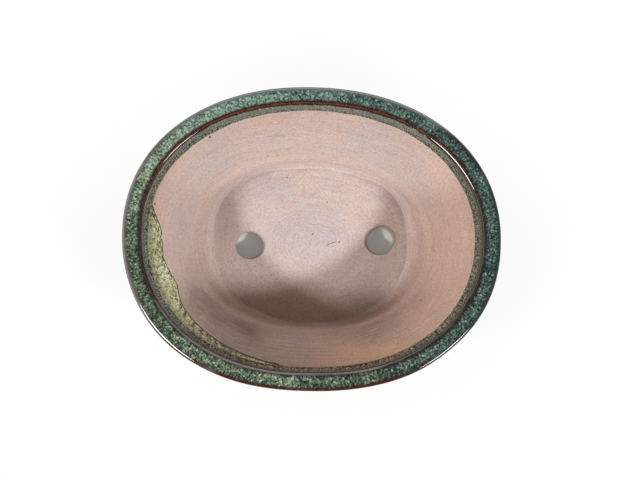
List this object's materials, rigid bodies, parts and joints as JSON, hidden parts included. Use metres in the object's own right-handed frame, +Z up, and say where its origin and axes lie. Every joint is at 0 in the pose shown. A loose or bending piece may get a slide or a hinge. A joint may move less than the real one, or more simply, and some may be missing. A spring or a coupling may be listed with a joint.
{
  "type": "bonsai pot",
  "caption": "Shallow oval bonsai pot with a rolled lip, sloping walls, cloud feet and drainage holes, in bare clay inside and green glaze outside.",
  "frame": {"origin": "on the table, under the middle of the pot", "axes": "+X along the pot's length, +Y to the back (up in the picture), +Z up"},
  "size_m": [0.21, 0.169, 0.06],
  "materials": {
    "bare_clay": "unglazed pinkish stoneware, throwing lines and grey bloom",
    "green_glaze": "glossy mottled green glaze that breaks to red-brown on edges",
    "yellow_glaze": "glossy thick yellow-green run, crackled",
    "foot_glaze": "glossy green glaze, bare clay where the foot meets the table"
  },
  "bodies": {
    "root": {"base_slab": "bare_clay", "body_wall": "bare_clay", "rim_lip": "bare_clay", "glaze_coat": "green_glaze", "glaze_run": "yellow_glaze", "foot_front_left": "foot_glaze", "foot_front_right": "foot_glaze", "foot_back_left": "foot_glaze", "foot_back_right": "foot_glaze"}
  },
  "joints": []
}
